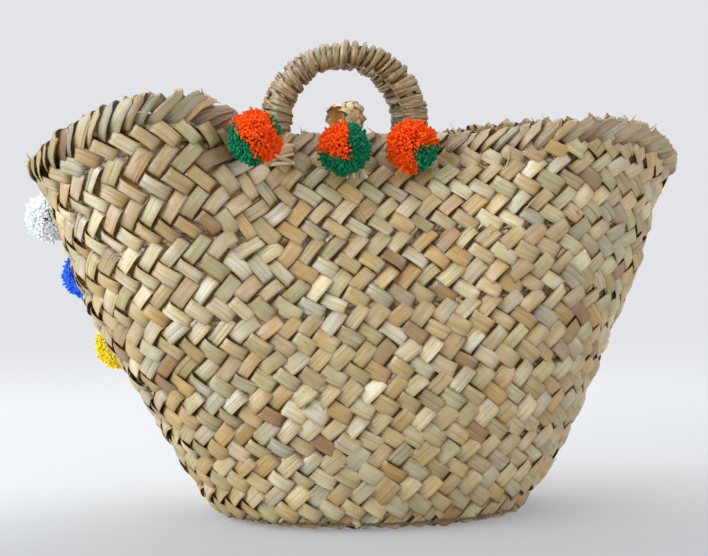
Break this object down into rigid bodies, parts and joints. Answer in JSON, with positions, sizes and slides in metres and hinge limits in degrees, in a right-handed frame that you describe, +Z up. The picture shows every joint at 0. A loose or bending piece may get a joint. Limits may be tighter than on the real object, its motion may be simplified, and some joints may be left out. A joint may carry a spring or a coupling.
{
  "type": "woven fruit basket",
  "caption": "Oval plaited palm-leaf basket with a pinched mouth, two wrapped rope handles that swing, a braided closing loop and yarn pompoms.",
  "frame": {"origin": "on the floor, under the middle of the base", "axes": "+X along the length to the right, -Y to the front with three pompoms, +Z up"},
  "size_m": [0.4598, 0.1878, 0.331],
  "materials": {
    "palm_plait": "dry plaited palm leaf",
    "palm_cord": "twisted palm cord",
    "palm_rope": "palm rope",
    "palm_wrap": "wound palm leaf",
    "palm_lashing": "pale palm leaf",
    "palm_braid": "braided palm leaf",
    "orange_yarn": "cut yarn",
    "green_yarn": "cut yarn",
    "tie_yarn": "twisted yarn",
    "white_yarn": "cut yarn",
    "blue_yarn": "cut yarn",
    "yellow_yarn": "cut yarn"
  },
  "bodies": {
    "basket": {"base_centre_plait": "palm_plait", "base_ring_plait": "palm_plait", "base_seam_cord": "palm_cord", "wall_band_1": "palm_plait", "wall_band_2": "palm_plait", "wall_band_3": "palm_plait", "wall_band_4": "palm_plait", "wall_band_5": "palm_plait", "rim_band": "palm_plait", "foot_seam_cord": "palm_cord", "seam_cord_1": "palm_cord", "seam_cord_2": "palm_cord", "seam_cord_3": "palm_cord", "seam_cord_4": "palm_cord", "seam_cord_5": "palm_cord", "front_tail_left": "palm_rope", "front_tail_right": "palm_rope", "front_lashing_left": "palm_lashing", "front_lashing_right": "palm_lashing", "rear_tail_left": "palm_rope", "rear_tail_right": "palm_rope", "rear_lashing_left": "palm_lashing", "rear_lashing_right": "palm_lashing", "loop_tail": "palm_rope", "loop_lashing": "palm_lashing", "pompom_left_knot": "tie_yarn", "pompom_middle_knot": "tie_yarn", "pompom_right_knot": "tie_yarn", "pompom_white_knot": "tie_yarn", "pompom_blue_knot": "tie_yarn", "pompom_yellow_knot": "tie_yarn"},
    "front_handle": {"front_handle_rope": "palm_rope", "front_handle_wrap": "palm_wrap"},
    "rear_handle": {"rear_handle_rope": "palm_rope", "rear_handle_wrap": "palm_wrap"},
    "closing_loop_body": {"closing_loop": "palm_braid"},
    "pompom_left": {"pompom_left_orange": "orange_yarn", "pompom_left_green": "green_yarn", "pompom_left_tie": "tie_yarn"},
    "pompom_middle": {"pompom_middle_orange": "orange_yarn", "pompom_middle_green": "green_yarn", "pompom_middle_tie": "tie_yarn"},
    "pompom_right": {"pompom_right_orange": "orange_yarn", "pompom_right_green": "green_yarn", "pompom_right_tie": "tie_yarn"},
    "pompom_white": {"pompom_white_yarn": "white_yarn", "pompom_white_tie": "tie_yarn"},
    "pompom_blue": {"pompom_blue_yarn": "blue_yarn", "pompom_blue_tie": "tie_yarn"},
    "pompom_yellow": {"pompom_yellow_yarn": "yellow_yarn", "pompom_yellow_tie": "tie_yarn"}
  },
  "joints": [
    {"name": "front_handle_swing", "type": "hinge", "parent": "basket", "child": "front_handle", "pos_m": [-0.025, -0.02409, 0.26779], "axis": [1, 0, 0], "range_deg": [-12, 38], "stiffness_Nm_per_rad": 0.03},
    {"name": "rear_handle_swing", "type": "hinge", "parent": "basket", "child": "rear_handle", "pos_m": [-0.025, 0.02409, 0.26779], "axis": [-1, 0, 0], "range_deg": [-12, 38], "stiffness_Nm_per_rad": 0.03},
    {"name": "closing_loop_swing", "type": "hinge", "parent": "basket", "child": "closing_loop_body", "pos_m": [-0.02, 0.02322, 0.26623], "axis": [-1, 0, 0], "range_deg": [-35, 50], "stiffness_Nm_per_rad": 0.004},
    {"name": "pompom_left_lift", "type": "hinge", "parent": "basket", "child": "pompom_left", "pos_m": [-0.10336, -0.06182, 0.26872], "axis": [-0.7553, -0.4577, 0.469], "range_deg": [0, 25]},
    {"name": "pompom_middle_lift", "type": "hinge", "parent": "basket", "child": "pompom_middle", "pos_m": [-0.0335, -0.04188, 0.25625], "axis": [-0.9999, 0.0132, 0], "range_deg": [0, 25]},
    {"name": "pompom_right_lift", "type": "hinge", "parent": "basket", "child": "pompom_right", "pos_m": [0.00957, -0.04146, 0.25755], "axis": [-0.9937, 0.1121, 0], "range_deg": [0, 25]},
    {"name": "pompom_white_lift", "type": "hinge", "parent": "basket", "child": "pompom_white", "pos_m": [-0.21727, 0.03389, 0.22162], "axis": [0.4729, 0.7952, 0.3794], "range_deg": [0, 25]},
    {"name": "pompom_blue_lift", "type": "hinge", "parent": "basket", "child": "pompom_blue", "pos_m": [-0.1939, 0.04534, 0.17979], "axis": [0.6055, 0.7218, 0.3353], "range_deg": [0, 25]},
    {"name": "pompom_yellow_lift", "type": "hinge", "parent": "basket", "child": "pompom_yellow", "pos_m": [-0.17154, 0.04623, 0.12983], "axis": [0.6364, 0.7303, 0.2482], "range_deg": [0, 25]}
  ]
}
